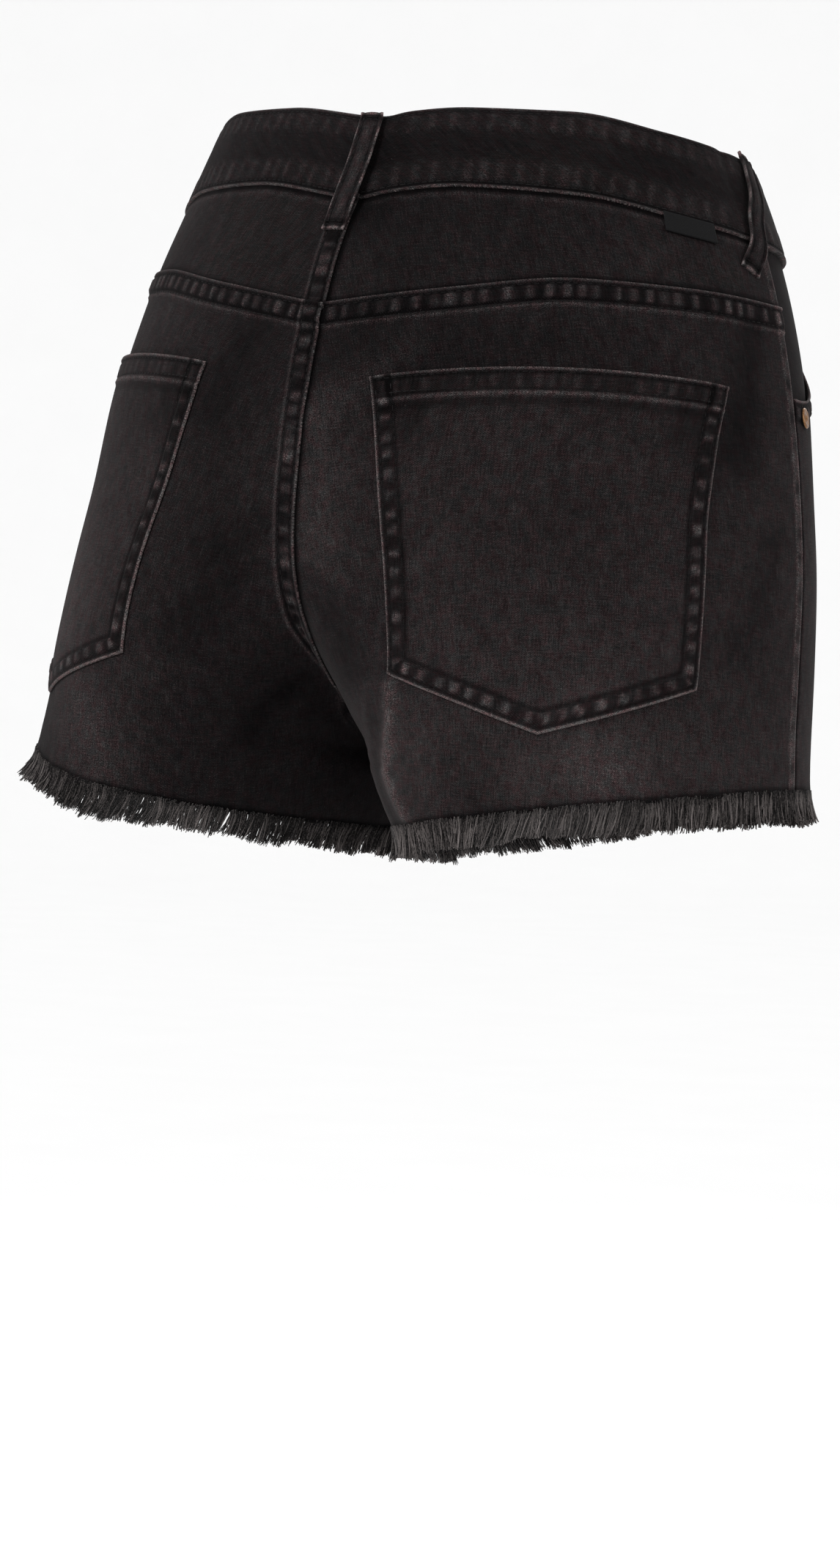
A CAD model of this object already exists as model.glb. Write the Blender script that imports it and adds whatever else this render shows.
"""Washed-black denim shorts with a frayed hem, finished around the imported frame.

+Z is up and the wearer faces -Y. Sizes are in millimetres until a mesh is made. A place on the cloth
is a side (+1 the wearer's left, -1 the right), a turn and a height: the turn is 0 at the widest point
of that side, 1 at the centre back or the back of the inseam, and -1 at the centre front.
"""

import math
import random
from collections import namedtuple

import bmesh
import bpy
import numpy as np
from mathutils import Matrix, Vector


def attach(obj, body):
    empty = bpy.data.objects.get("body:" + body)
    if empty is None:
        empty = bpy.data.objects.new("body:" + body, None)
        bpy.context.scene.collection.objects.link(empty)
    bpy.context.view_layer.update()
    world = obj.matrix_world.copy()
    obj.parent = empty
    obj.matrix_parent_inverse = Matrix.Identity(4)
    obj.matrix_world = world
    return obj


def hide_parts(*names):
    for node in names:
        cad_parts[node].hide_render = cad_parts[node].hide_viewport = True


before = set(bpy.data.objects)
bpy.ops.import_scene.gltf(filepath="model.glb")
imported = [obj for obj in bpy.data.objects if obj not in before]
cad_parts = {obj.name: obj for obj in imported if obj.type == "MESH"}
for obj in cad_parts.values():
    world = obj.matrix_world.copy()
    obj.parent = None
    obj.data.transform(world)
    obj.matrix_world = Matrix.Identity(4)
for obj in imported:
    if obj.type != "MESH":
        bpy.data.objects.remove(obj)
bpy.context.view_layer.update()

MM = 0.001
LEFT, RIGHT = 1, -1
SIDES = (("left", LEFT), ("right", RIGHT))

# ---- Cut of the shorts ----

DENIM = 0.9  # thickness of the cloth
SIDE_SEAM = -0.04  # its turn, a little in front of the widest point
SIDE_TILT = 0.028  # rise of every line towards the wearer's left, per millimetre
HIP_TURN = 190  # millimetres to one turn, at the hip and at the waist
WAIST_TURN = 150
CROTCH = -245  # its height, where the body parts into two legs
CROTCH_OVERLAP = 2.6  # how far the two legs' pieces cross just below it
LEG_AXIS = (60, 8)  # a place inside the left leg, which every part of its cloth faces away from

# Level sections: half the width, where the sides are from front to back, how far the back and the
# front bulge from there at most and at the centre seam, and the gap between the legs.
Section = namedtuple(
    "Section", "height half_width side_y back_bulge back_seam front_bulge front_seam leg_gap"
)
SECTIONS = (
    Section(35, 109, -1, 69, 69, 80, 80, 0),
    Section(20, 116, -1, 77, 77, 84, 84, 0),
    Section(-15, 132, -3, 94, 94, 92, 92, 0),
    Section(-50, 145, -2, 111, 111, 98, 98, 0),
    Section(-90, 155, 0, 122, 121.9, 102, 102, 0),
    Section(-130, 161.5, 2, 126.5, 125.8, 102, 102, 0),
    Section(-165, 165, 4, 128.5, 122, 98, 96, 0),
    Section(-195, 166, 7, 126.5, 102, 93, 80, 0),
    Section(-225, 167, 11, 121, 63, 88, 45, 0),
    Section(-245, 169, 15, 114, 0, 86, 0, 0.4),
    Section(-270, 172, 17, 106, 0, 84, 0, 10),
    Section(-300, 175, 17, 100, 0, 82, 0, 18),
)
# Heights of the edges and seams, from the centre front round one side to the centre back
Lines = namedtuple("Lines", "turn waist band_seam yoke_seam hem")
LINES = (
    Lines(-1.0, -8, -43, -69.5, -276),
    Lines(-0.75, -6, -41, -64.5, -268),
    Lines(-0.5, 0, -36, -59.5, -256),
    Lines(-0.25, 7, -30, -54.5, -249),
    Lines(0.0, 12, -25, -50.5, -246),
    Lines(0.25, 17, -19.5, -47.5, -251),
    Lines(0.5, 22.5, -12.5, -46.5, -261),
    Lines(0.75, 22.5, -11, -53, -270),
    Lines(1.0, 18.2, -17, -61.5, -276),
)

# Folds and creases: ridges (rise > 0) and troughs (rise < 0) from one place to another.
Fold = namedtuple("Fold", "side turn_from height_from turn_to height_to width rise")
FOLDS = (
    Fold(RIGHT, 0.72, -222, 0.64, -276, 34, 2.6),
    Fold(LEFT, 0.94, -216, 0.66, -252, 40, -1.6),
    # broad swellings of the worn shape
    Fold(RIGHT, -0.36, -5, -0.36, -75, 70, 2.2),
    Fold(LEFT, 0.22, -70, 0.18, -185, 80, -1.5),
    Fold(LEFT, 0.16, -268, 0.55, -276, 56, 4.2),
    # right back
    Fold(RIGHT, 0.715, -212, 0.625, -264, 6, 1.7),
    Fold(RIGHT, 0.74, -226, 0.665, -272, 9, -0.8),
    Fold(RIGHT, 0.80, -78, 0.95, -104, 18, 0.9),
    Fold(RIGHT, 0.97, -112, 0.90, -168, 22, 0.7),
    Fold(RIGHT, 0.93, -172, 0.83, -206, 14, -0.7),
    Fold(RIGHT, 0.10, -66, 0.17, -118, 16, -1.1),
    Fold(RIGHT, 0.07, -150, 0.13, -196, 14, -0.7),
    Fold(RIGHT, 0.30, -236, 0.26, -262, 20, 0.6),
    Fold(RIGHT, 0.50, -240, 0.46, -270, 22, -0.6),
    # left back
    Fold(LEFT, 0.965, -211, 0.76, -239, 5, -0.8),
    Fold(LEFT, 0.90, -231, 0.78, -249, 14, 0.6),
    Fold(LEFT, 0.90, -168, 0.78, -196, 18, -0.8),
    Fold(LEFT, 0.96, -150, 0.84, -160, 12, -0.6),
    Fold(LEFT, 0.88, -74, 0.82, -104, 16, -0.8),
    Fold(LEFT, 0.52, -226, 0.46, -268, 24, 0.9),
    Fold(LEFT, 0.34, -222, 0.30, -258, 20, -0.8),
    # waistband, pulled in beside the loops
    Fold(RIGHT, 0.955, 22, 0.965, -16, 12, -1.5),
    Fold(RIGHT, 0.02, 14, 0.05, -22, 10, -0.8),
    # fronts
    Fold(RIGHT, -0.93, -182, -0.56, -212, 16, -1.3),
    Fold(RIGHT, -0.90, -200, -0.62, -232, 13, 1.0),
    Fold(RIGHT, -0.88, -150, -0.60, -164, 14, -0.8),
    Fold(LEFT, -0.92, -188, -0.52, -206, 16, -1.4),
    Fold(LEFT, -0.90, -210, -0.58, -240, 14, 0.9),
    Fold(LEFT, -0.86, -158, -0.54, -182, 13, -0.8),
    Fold(LEFT, -0.40, -226, -0.36, -256, 20, 0.8),
    Fold(RIGHT, -0.38, -224, -0.42, -254, 20, 0.7),
)
FOLD_TURN = 180  # millimetres to one turn, as folds and fading are measured
NARROW_FOLD = 26  # the wash rubs only folds narrower than this
FOLD_WEAR = 0.22  # how much it lightens a ridge of one millimetre
FOLD_WEAR_RISE = 1.6  # and the rise from which it does no more

# Broad fading of the wash: lighter (amount > 0) and darker (amount < 0) areas.
Fade = namedtuple("Fade", "side turn height wide tall amount")
FADES = (
    Fade(RIGHT, 0.42, -242, 120, 32, 0.62),
    Fade(RIGHT, 0.64, -226, 40, 25, 0.20),
    Fade(RIGHT, 0.42, -188, 80, 42, 0.16),
    Fade(RIGHT, 0.94, -165, 14, 42, 0.30),
    Fade(RIGHT, 0.0, -160, 40, 110, 0.32),
    Fade(RIGHT, 0.13, -100, 14, 30, -0.25),
    Fade(RIGHT, 0.85, -84, 36, 24, -0.50),
    Fade(RIGHT, 0.66, -76, 46, 14, -0.35),
    Fade(RIGHT, 0.80, -40, 40, 40, -0.35),
    Fade(RIGHT, 0.955, -22, 11, 9, -0.9),
    Fade(RIGHT, 0.94, 4, 12, 22, -0.5),
    Fade(RIGHT, 0.45, -20, 80, 25, -0.20),
    Fade(LEFT, 0.30, -140, 45, 90, 0.50),
    Fade(LEFT, 0.43, -196, 40, 45, 0.30),
    Fade(LEFT, 0.66, -200, 45, 36, 0.22),
    Fade(LEFT, 0.92, -200, 40, 40, -0.45),
    Fade(LEFT, 0.96, -245, 44, 36, -1.0),
    Fade(LEFT, 0.78, -248, 44, 26, -0.35),
    Fade(LEFT, 0.86, -105, 20, 42, -0.45),
    Fade(LEFT, 0.85, -20, 60, 30, -0.20),
    Fade(RIGHT, -0.45, -165, 45, 55, 0.45),
    Fade(LEFT, -0.45, -165, 45, 55, 0.45),
    Fade(RIGHT, -0.95, -215, 30, 35, -0.35),
    Fade(LEFT, -0.95, -215, 30, 35, -0.35),
)

# Back pockets: heights, then how far round from the widest point the sides are at shares down
POCKET_TOP = -83
POCKET_TOP_DIP = 5
POCKET_TOP_TILT = {LEFT: 2.0, RIGHT: -2.4}
POCKET_CORNER = -206
POCKET_TIP = -226
POCKET_LIFT = 1.0
POCKET_CLOTH = 0.8
PocketEdge = namedtuple("PocketEdge", "down outer inner")
POCKET_EDGES = (
    PocketEdge(0.0, 36, 185.5),
    PocketEdge(0.2, 45, 186.5),
    PocketEdge(0.5, 53, 187.5),
    PocketEdge(1.0, 57, 188),
)
POCKET_SHIFT = {LEFT: -18, RIGHT: 0}

# Front pockets: a scooped opening, and a bag behind it
SCOOP_WIDTH = 0.42
SCOOP_DEPTH = 62
BAG_WIDTH = 0.56
BAG_UNDER_SIDE = 0.06
BAG_BOTTOM = -178
BAG_LOW_TURN = 0.32
BAG_CORNER_RISE = 18
BAG_SINK = -1.4
RIVET_INSET = {"upper": 0.045, "lower": 0.062}
RIVET_BELOW = 7

# Seams and fly
SEAM_LAP = 5
SEAM_UNDER = 2.0  # how far a panel goes on under the next one
FLY_LAP = 12
FLY_BOTTOM = -132
FLY_TOP = -52
FLY_WIDTH = 34
FLY_ROUND = 34  # height over which the fly's stitching curves in
LAYER = 1.5  # how far the fly's lap stands off the other front
ZIP_TOP = -50
ZIP_HALF_WIDTH = 13
TOOTH_PITCH = 1.4
TOOTH_SIZE = (3.0, 1.1, 0.8)
TOOTH_STAGGER = 0.9

# Band, loops, tab
BAND_LAP = 14  # how far the left end goes on over the right one
BAND_UNDERLAP = 20  # and the right end under the left one
BAND_PROUD = 0.9
LAP_CLEARANCE = 0.8
BAND_THICKNESS = 2.4
LOOP_WIDTH = 11
LOOP_CLOTH = 1.3
LOOP_STAND_OFF = 1.8
LOOP_BELOW_BAND = 14
Loop = namedtuple("Loop", "name side upper_turn lower_turn bow sway")
LOOPS = (
    Loop("belt_loop_back", RIGHT, 0.99, 1.0, 1.7, 0.25),
    Loop("belt_loop_side_right", RIGHT, -0.10, 0.07, 0.0, 1.1),
    Loop("belt_loop_side_left", LEFT, -0.06, 0.0, 0.6, 0.6),
    Loop("belt_loop_front_right", RIGHT, -0.60, -0.60, 0.8, 0.4),
    Loop("belt_loop_front_left", LEFT, -0.60, -0.60, -0.5, 0.3),
)
TAB_FROM, TAB_TO = 26, 49
TAB_HEIGHT = -24
TAB_LENGTH = 6.5
TAB_UNDER = 1.5

# Flat size of each panel as cut, in metres
CUT = {
    "yoke": (0.205, 0.050),
    "back": (0.235, 0.225),
    "front": (0.225, 0.240),
    "back_pocket": (0.149, 0.143),
    "front_pocket": (0.110, 0.155),
    "waistband": (0.690, 0.036),
    "belt_loop": (0.011, 0.050),
    "woven_tab": (0.023, 0.0105),
}

# Stitching and threads: rows of stitches by their distance from the edge
SEAM_ROWS = (1.9, 9.0)
PATCH_ROWS = (2.1, 8.3)
POCKET_HEM_ROWS = (1.8, 8.8)
BAND_ROW = 2.2
FLY_ROWS = (0, 6)
STITCH_PITCH = 3.1
STITCH_SIZE = (1.25, 0.27, 0.22)
FRINGE_LENGTH = 11.6
FRINGE_TONE = {LEFT: 0.15, RIGHT: 0.30}
THREADS_PER_MM = 11.0
THREAD_RADIUS = (0.20, 0.34)
HEM_FLARE = 0.30  # outward lean of the threads at the left leg's outer side
HEM_FLARE_TURN, HEM_FLARE_SPREAD = 0.2, 0.25
SHORT_SHARE, SHORT_LENGTH = 0.10, 0.68
LOOSE_SHARE, LOOSE_TONE = 0.45, 0.7
# Down a thread: where its rings are, how thick it is there, and how light
THREAD_RINGS = (0.0, 0.22, 0.48, 0.75, 1.0)
THREAD_TAPER = (1.0, 1.0, 1.0, 1.0, 0.75)
THREAD_SHADE = (0.45, 0.8, 1.0, 1.05, 1.1)


# ---- Surface of the cloth ----


def curve(stops, values, at):
    """Values along a smooth curve that never overshoots its rows, with flat places at its peaks."""
    stops = np.asarray(stops, float)
    values = np.asarray(values, float)
    at = np.clip(at, stops[0], stops[-1])
    row = np.clip(np.searchsorted(stops, at, side="right") - 1, 0, len(stops) - 2)
    span = np.diff(stops)
    rise = np.diff(values) / span
    before, after = rise[:-1], rise[1:]
    total = np.where(before + after == 0, 1, before + after)
    middle = np.where(before * after > 0, 2 * before * after / total, 0)
    slope = np.concatenate([rise[:1], middle, rise[-1:]])
    f = (at - stops[row]) / span[row]
    return (
        (1 + 2 * f) * (1 - f) ** 2 * values[row]
        + f * (1 - f) ** 2 * span[row] * slope[row]
        + f * f * (3 - 2 * f) * values[row + 1]
        + f * f * (f - 1) * span[row] * slope[row + 1]
    )


def column(table, name):
    """One column of a table of named rows."""
    return np.array([getattr(row, name) for row in table], float)


def ease(value):
    """A smooth step, from 0 to 1."""
    value = np.clip(value, 0, 1)
    return value * value * (3 - 2 * value)


def hump(distance, centre, half):
    """A round ridge across a distance."""
    return np.exp(-(((distance - centre) / half) ** 2))


def humps(distance, *rows):
    """Round ridges and grooves side by side: each row is a height, a centre and a half width."""
    return sum(height * hump(distance, centre, half) for height, centre, half in rows)


def shelf(distance, start, stop, soft):
    """1 between two distances, with soft ends."""
    return ease((distance - start) / soft + 0.5) * ease((stop - distance) / soft + 0.5)


DEPTHS = -column(SECTIONS, "height")
SHAPE = {name: column(SECTIONS, name) for name in Section._fields[1:]}
LEAN = {
    part: np.sqrt(1 - (SHAPE[f"{part}_seam"] / SHAPE[f"{part}_bulge"]) ** 2)
    for part in ("back", "front")
}
# Sections a little above and below are mixed in, so that the form rounds off in height too
ROUNDING = (-1.0, -0.5, 0.0, 0.5, 1.0)
ROUNDING_SHARES = (0.1, 0.22, 0.36, 0.22, 0.1)
ROUNDING_REACH = 15


def level_form(side, turn, height, level):
    """A place on the smooth form, with the section taken at another level."""
    behind = turn >= 0
    half_width = curve(DEPTHS, SHAPE["half_width"], -level)
    gap = curve(DEPTHS, SHAPE["leg_gap"], -level) - CROTCH_OVERLAP * hump(level, CROTCH - 2.5, 4.0)
    bulge, lean = (
        np.where(behind, curve(DEPTHS, back, -level), curve(DEPTHS, front, -level))
        for back, front in (
            (SHAPE["back_bulge"], SHAPE["front_bulge"]),
            (LEAN["back"], LEAN["front"]),
        )
    )
    lean = np.clip(lean, 0, 1)
    body = level > CROTCH
    reach = np.where(body, half_width / (1 + lean), (half_width - gap) / 2)
    centre = np.where(body, lean * reach, half_width - reach)
    angle = np.abs(turn) * np.where(body, np.arccos(-lean), math.pi)
    x = side * (centre + reach * np.cos(angle))
    y = curve(DEPTHS, SHAPE["side_y"], -level)
    y = y + bulge * np.sin(angle) * np.where(behind, 1, -1)
    return np.stack([x, y, height], axis=-1)


def form(side, turn, height):
    """Places on the smooth form, before folds."""
    side, turn, height = np.broadcast_arrays(np.float64(side), turn, height)
    past = np.abs(turn) > 1
    body = height > CROTCH
    beyond = np.copysign(2 - np.abs(turn), turn)
    side = np.where(past & body, -side, side)
    turn = np.where(past, np.where(body, beyond, -beyond), turn)
    reach = ROUNDING_REACH * ease((1 - np.abs(turn)) / 0.3)
    return sum(
        share * level_form(side, turn, height, height + step * reach)
        for step, share in zip(ROUNDING, ROUNDING_SHARES)
    )


TURN_STEP, HEIGHT_STEP = 0.012, 1.5  # to the neighbours that a direction is worked out from


def straight_out(side, turn, height):
    """The direction out of the smooth form."""
    ahead = form(side, turn + TURN_STEP, height) - form(side, turn - TURN_STEP, height)
    above = form(side, turn, height + HEIGHT_STEP) - form(side, turn, height - HEIGHT_STEP)
    out = np.cross(ahead, above)
    out /= np.linalg.norm(out, axis=-1, keepdims=True)
    here = form(side, turn, height)
    off_axis = here[..., :2] - np.stack(
        [np.broadcast_to(side * LEG_AXIS[0], here.shape[:-1]), np.full(here.shape[:-1], LEG_AXIS[1])],
        axis=-1,
    )
    facing = np.sign((out[..., :2] * off_axis).sum(-1))
    return out * np.where(facing == 0, 1, facing)[..., None]


def outward(side, turn, height):
    """The direction out of the cloth. At the crotch it is halfway between those above and below."""
    near = (np.abs(height - CROTCH) < 2.5) & (np.abs(turn) > 0.97)
    out = straight_out(side, turn, height)
    both = sum(straight_out(side, turn, np.full(turn.shape, CROTCH + step)) for step in (4.0, -4.0))
    both /= np.maximum(np.linalg.norm(both, axis=-1, keepdims=True), 1e-6)
    return np.where(near[..., None], both, out)


def one_fold(fold, side, turn, height):
    """How near the cloth is to a fold's line, from 0 to 1."""
    across = (turn if fold.side == side else np.copysign(2, turn) - turn) * FOLD_TURN
    start = (fold.turn_from * FOLD_TURN, fold.height_from)
    run = (fold.turn_to * FOLD_TURN - start[0], fold.height_to - start[1])
    along = ((across - start[0]) * run[0] + (height - start[1]) * run[1]) / (run[0] ** 2 + run[1] ** 2)
    kept = np.clip(along, 0, 1)
    away = np.hypot(across - start[0] - kept * run[0], height - start[1] - kept * run[1])
    return np.exp(-((2 * away / fold.width) ** 2))


def fold_rise(side, turn, height):
    """How far the folds and creases push the cloth out."""
    return sum(fold.rise * one_fold(fold, side, turn, height) for fold in FOLDS)


def fold_wear(side, turn, height):
    """Where the wash has rubbed the creases: ridges lighter, troughs darker."""
    total = np.zeros(np.broadcast(turn, height).shape)
    for fold in FOLDS:
        if fold.width < NARROW_FOLD:
            share = min(FOLD_WEAR_RISE, abs(fold.rise)) * math.copysign(FOLD_WEAR, fold.rise)
            total = total + share * one_fold(fold, side, turn, height)
    return total


def fading(side, turn, height):
    """The wash: how much lighter or darker than the rest."""
    total = np.zeros(np.broadcast(turn, height).shape)
    for fade in FADES:
        own = fade.side == side
        across = (turn if own else np.copysign(2, turn) - turn) - fade.turn
        across = across * FOLD_TURN / fade.wide
        total = total + fade.amount * np.exp(-(across**2) - ((height - fade.height) / fade.tall) ** 2)
    return total


def cloth(side, turn, height, lift=0.0):
    """Places on the cloth, moved out by lift."""
    turn, height = np.broadcast_arrays(np.asarray(turn, float), np.asarray(height, float))
    out = outward(side, turn, height)
    rise = fold_rise(side, turn, height) + lift
    return form(side, turn, height) + out * rise[..., None], out


def line_height(name, side, turn):
    """The height of a seam or edge, on the tilted shorts."""
    turn = np.clip(turn, -1.0, 1.0)
    height = curve(column(LINES, "turn"), column(LINES, name), turn)
    return height + SIDE_TILT * form(side, turn, height)[..., 0]


ARC_STEPS = np.linspace(0, 1, 61)


def turn_at(side, across, height):
    """The turn that lies this far round the back from the widest point, level by level."""
    levels = np.linspace(-290, 30, 65)  # from below the hem to above the waist
    ring = form(side, ARC_STEPS[None, :], levels[:, None])
    steps = np.linalg.norm(np.diff(ring, axis=1), axis=-1)
    arc = np.concatenate([np.zeros((len(levels), 1)), np.cumsum(steps, axis=1)], axis=1)
    across, height = np.broadcast_arrays(np.asarray(across, float), np.asarray(height, float))
    place = (height.ravel() - levels[0]) / (levels[1] - levels[0])
    lower = np.clip(place.astype(int), 0, len(levels) - 2)
    share = place - lower
    found = [
        np.interp(a, arc[i] * (1 - s) + arc[i + 1] * s, ARC_STEPS)
        for a, i, s in zip(across.ravel(), lower, share)
    ]
    return np.array(found).reshape(across.shape)


# ---- Seams: how they rise, and where the wash has worn them ----


def nearness(points, path):
    """How far each point is from a path, and how far along the path that is."""
    flat = points.reshape(-1, 3)
    run = np.diff(path, axis=0)
    length = np.linalg.norm(run, axis=1)
    before = np.concatenate([[0], np.cumsum(length)])
    best = np.full(len(flat), 1e9)
    along = np.zeros(len(flat))
    for k in range(len(run)):
        if length[k] < 1e-6:
            continue
        offset = flat - path[k]
        share = np.clip(offset @ run[k] / length[k] ** 2, 0, 1)
        away = np.linalg.norm(offset - share[:, None] * run[k], axis=1)
        closer = away < best
        best[closer] = away[closer]
        along[closer] = before[k] + share[closer] * length[k]
    return best.reshape(points.shape[:-1]), along.reshape(points.shape[:-1])


def puckers(seed, length=900, spacing=(5.6, 9.2), width=(2.8, 5.2)):
    """Uneven little swells along a seam, where the thread draws the cloth in."""
    draw = random.Random(seed)
    places = np.arange(0, length, 0.25)
    swell = np.zeros_like(places)
    at = draw.uniform(1, 6)
    while at < length:
        half = draw.uniform(*width) / 2
        strength = draw.uniform(0.55, 1.0)
        swell = np.maximum(swell, strength * np.exp(-(((places - at) / half) ** 4)))
        at += draw.uniform(*spacing)
    return lambda along: np.interp(along, places, swell)


def felled_seam(away, along, seed):
    """A lapped seam with two rows of stitches: (lift, wear)."""
    swell = puckers(seed)(along)
    between = shelf(away, 2.4, 8.2, 1.2)
    lift = 1.1 * ease((11.5 - away) / 3) + 0.55 * swell * between
    lift += humps(away, (0.45, 0.6, 0.7), (-0.45, 1.9, 0.6), (-0.55, 9.0, 0.7), (0.35, 10.5, 0.9))
    wear = (0.84 * swell - 0.34) * between
    wear += humps(away, (0.66, 0.35, 0.70), (-0.50, 1.8, 0.75), (-0.50, 8.9, 0.75), (0.36, 10.6, 0.95))
    return lift, wear


def patch_border(away, along, seed):
    """A pocket's turned edge, stitched twice: (lift, wear)."""
    swell = puckers(seed, spacing=(6.3, 9.8), width=(2.8, 5.0))(along)
    between = shelf(away, 3.1, 7.4, 1.2)
    lift = 0.45 * ease((9.5 - away) / 2.5) + 0.55 * swell * between
    lift += humps(away, (0.45, 0.6, 0.7), (-0.45, 2.1, 0.8), (-0.45, 8.3, 0.8))
    wear = (0.80 * swell - 0.32) * between
    wear += humps(away, (0.88, 0.35, 0.70), (-0.42, 2.2, 0.9), (-0.34, 8.6, 1.1))
    return lift, wear


def pocket_hem(away, along, seed):
    """The pocket's folded top: (lift, wear)."""
    swell = puckers(seed, spacing=(5.0, 9.0), width=(1.6, 3.4))(along)
    between = shelf(away, 2.8, 8.0, 1.2)
    lift = 0.5 * ease((11.5 - away) / 2.0) + 0.22 * swell * between
    lift += humps(away, (0.40, 0.6, 0.7), (-0.40, 1.8, 0.6), (-0.40, 8.8, 0.6), (0.30, 10.3, 0.9))
    wear = (0.34 * swell - 0.14) * between
    wear += humps(away, (0.84, 0.35, 0.70), (-0.46, 1.8, 0.8), (-0.36, 8.9, 0.6))
    wear += humps(away, (0.46, 10.3, 1.1), (-0.18, 13.5, 2.0))
    return lift, wear


def back_side_seam(side, points):
    """The pressed allowance behind the side seam: (lift, wear)."""
    away, along = nearness(points, points[:, 0])
    swell = puckers(31 + side, spacing=(9, 19), width=(2.5, 6))(along)
    lift = 0.35 * shelf(away, -1, 5.6, 1.2) - 0.4 * hump(away, 0, 0.5)
    lift -= 0.18 * swell * shelf(away, 0.8, 5, 1)
    wear = humps(away, (0.55, 0.9, 0.6), (-0.5, 0, 0.4), (0.30, 5.6, 0.7))
    wear += 0.28 * shelf(away, 1, 5.4, 1.0) - 0.40 * swell * shelf(away, 1.5, 5.2, 1.2)
    return lift, wear


def hem_edge(points):
    """The last millimetres before the fringe: (lift, wear)."""
    away, along = nearness(points, points[-1])
    places = np.arange(0, 400, 6.5)
    wave = np.interp(along, places, np.random.default_rng(5).normal(0, 0.35, len(places)))
    return wave * ease(1 - away / 9), -0.60 * hump(away, 0.7, 1.6)


# ---- Meshes ----


def graded(length, start_zone, stop_zone, fine, coarse):
    """Shares of a length, close together in its first and last millimetres."""
    first = np.arange(0, start_zone, fine)
    last = length - np.arange(0, stop_zone, fine)[::-1]
    count = max(2, round((length - start_zone - stop_zone) / coarse))
    middle = np.linspace(start_zone, length - stop_zone, count, endpoint=False)
    return np.concatenate([first, middle, last]) / length


def at_distance(at, arc, values):
    """Rows of x, y, z read off along a path, at distances from its start."""
    return np.stack([np.interp(at, arc, values[:, k]) for k in range(3)], axis=-1)


def cumulated(points, axis):
    """Distance along rows or columns of points."""
    steps = np.linalg.norm(np.diff(points, axis=axis), axis=-1)
    zeros = np.zeros_like(np.take(steps, [0], axis=axis))
    return np.concatenate([zeros, np.cumsum(steps, axis=axis)], axis=axis)


def finish_piece(made, node):
    """A piece rides on the frame, stands for its CAD node and takes its finish from a slot."""
    bpy.context.scene.collection.objects.link(made)
    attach(made, "root")
    if node:
        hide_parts(node)
    return made


def cloth_piece(node, points, outs, wear, fade, finish=None, wall=DENIM):
    """A sheet of cloth through rows and columns of points, with its own measure, wear and wall."""
    rows, columns = points.shape[:2]
    shape = bmesh.new()
    bmesh.ops.create_grid(shape, x_segments=columns - 1, y_segments=rows - 1, size=0.5)
    mesh = finished_mesh(node, shape, finish or BODY_DENIM)
    mesh.vertices.foreach_set("co", (points.reshape(-1, 3) * MM).astype(np.float32).ravel())
    mesh.update()
    normals = np.zeros(len(mesh.polygons) * 3, np.float32)
    mesh.polygons.foreach_get("normal", normals)
    facing = normals.reshape(rows - 1, columns - 1, 3) * outs[:-1, :-1]
    if facing.sum() < 0:
        mesh.flip_normals()
    for label, values in (("wear", wear), ("fade", fade)):
        attribute = mesh.attributes.new(label, "FLOAT", "POINT")
        attribute.data.foreach_set("value", np.asarray(values, np.float32).ravel())
    corners = np.zeros(len(mesh.loops), np.int32)
    mesh.loops.foreach_get("vertex_index", corners)
    measure = np.stack([cumulated(points, 1), -cumulated(points, 0)], axis=-1).reshape(-1, 2)
    cut = mesh.uv_layers.new(name="cut")
    cut.data.foreach_set("uv", measure[corners].astype(np.float32).ravel())
    made = bpy.data.objects.new(f"{node}_cloth", mesh)
    shell = made.modifiers.new("wall", "SOLIDIFY")
    shell.thickness = wall * MM
    shell.offset = -1.0
    shell.use_even_offset = False
    return finish_piece(made, node)


def finished_mesh(mesh, shape, finish, smooth=True):
    """A mesh, or a new one of that name, filled from a bmesh, which ends here, with its one finish."""
    if isinstance(mesh, str):
        mesh = bpy.data.meshes.new(mesh)
    shape.to_mesh(mesh)
    shape.free()
    mesh.polygons.foreach_set("use_smooth", np.full(len(mesh.polygons), smooth))
    mesh.materials.append(finish)
    return mesh


def parts_of(shape):
    """A bmesh's places and faces, to be repeated. The bmesh ends here."""
    shape.verts.index_update()
    points = np.array([vert.co[:] for vert in shape.verts])
    faces = [tuple(vert.index for vert in face.verts) for face in shape.faces]
    shape.free()
    return points, faces


def repeated(name, places, faces, tones, finish):
    """One mesh of many copies of a small shape: places by copy and corner, and a tone at each."""
    copies, corners = places.shape[:2]
    firsts = range(0, copies * corners, corners)
    every = [tuple(first + i for i in face) for first in firsts for face in faces]
    mesh = bpy.data.meshes.new(name)
    mesh.from_pydata((places.reshape(-1, 3) * MM).tolist(), [], every)
    attribute = mesh.attributes.new("wear", "FLOAT", "POINT")
    attribute.data.foreach_set("value", tones.astype(np.float32).ravel())
    shape = bmesh.new()
    shape.from_mesh(mesh)
    bmesh.ops.recalc_face_normals(shape, faces=shape.faces)
    return finished_mesh(mesh, shape, finish)


# ---- Materials ----


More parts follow.
